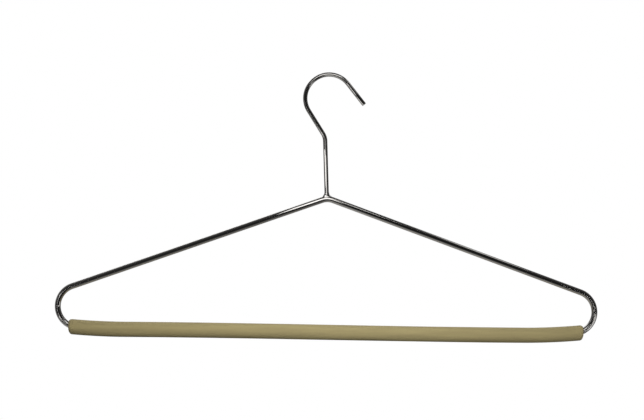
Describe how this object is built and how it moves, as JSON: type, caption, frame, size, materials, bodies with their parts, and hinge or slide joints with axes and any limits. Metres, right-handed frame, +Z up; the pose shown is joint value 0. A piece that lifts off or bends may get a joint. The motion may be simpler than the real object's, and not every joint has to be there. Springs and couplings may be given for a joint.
{
  "type": "clothes hanger",
  "caption": "Flat wire clothes hanger with an open hook welded to a triangular wire frame and a foam sleeve round its trouser bar.",
  "frame": {"origin": "where the top of the rail touches the inside of the hook", "axes": "+Z up as the hanger hangs, X across its width with the hook's mouth on the +X side, Y along the rail"},
  "size_m": [0.4298, 0.012, 0.2119],
  "materials": {
    "chrome_wire": "bright chrome plating on smooth drawn steel wire",
    "chrome_weld": "bright chrome plating over dressed weld metal",
    "foam": "matte khaki closed-cell foam with a fine skin"
  },
  "bodies": {
    "root": {"hook": "chrome_wire", "frame_wire": "chrome_wire", "apex_weld": "chrome_weld", "bar_butt_weld": "chrome_weld", "foam_sleeve": "foam"}
  },
  "joints": []
}
